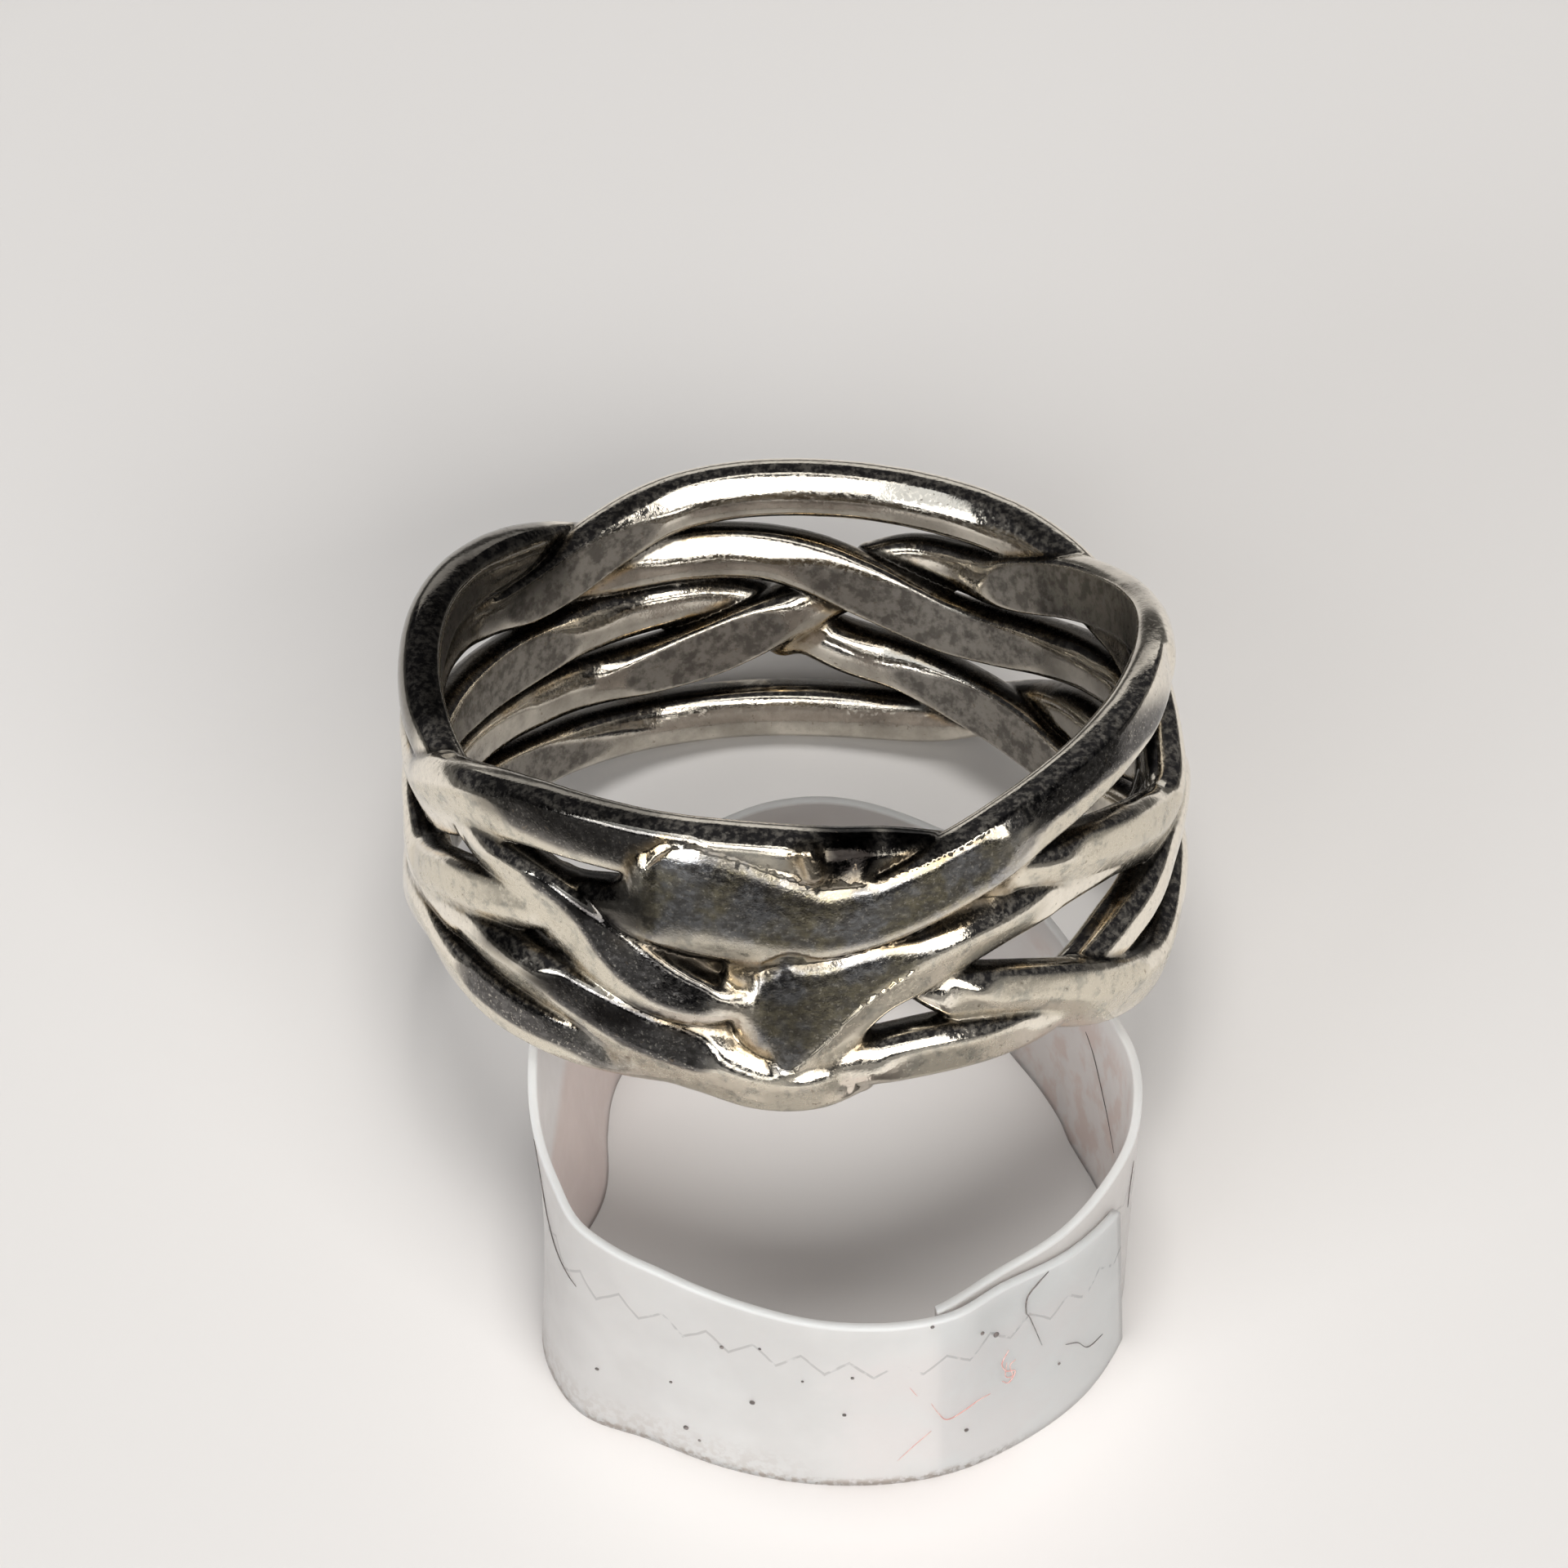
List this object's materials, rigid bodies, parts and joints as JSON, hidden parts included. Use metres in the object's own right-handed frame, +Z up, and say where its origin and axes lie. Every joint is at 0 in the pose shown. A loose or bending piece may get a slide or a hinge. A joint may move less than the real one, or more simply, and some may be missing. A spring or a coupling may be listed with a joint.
{
  "type": "wire wrap ring on a plastic strip stand",
  "caption": "Wide finger ring of silver wires that cross and wrap round the band, soldered where they meet, leaning on a small loop of clear plastic strip.",
  "frame": {"origin": "on the floor, under the middle of the outline of ring and strip together", "axes": "+Z up from the floor; +Y towards the back, where the ring's rim stands on the floor, so the strip stands at the front on the -Y side; +X to the right as seen from the front. The ring's own axis leans 22.5 degrees from +Z towards +Y."},
  "size_m": [0.0218, 0.0298, 0.0159],
  "materials": {
    "silver": "worn polish on solid silver, dark tarnish between the wires and matte flats inside the hole",
    "clear_plastic": "thin milky film, see-through, with a white cut edge"
  },
  "bodies": {
    "root": {"wrap_band": "silver", "strip_stand": "clear_plastic"}
  },
  "joints": []
}
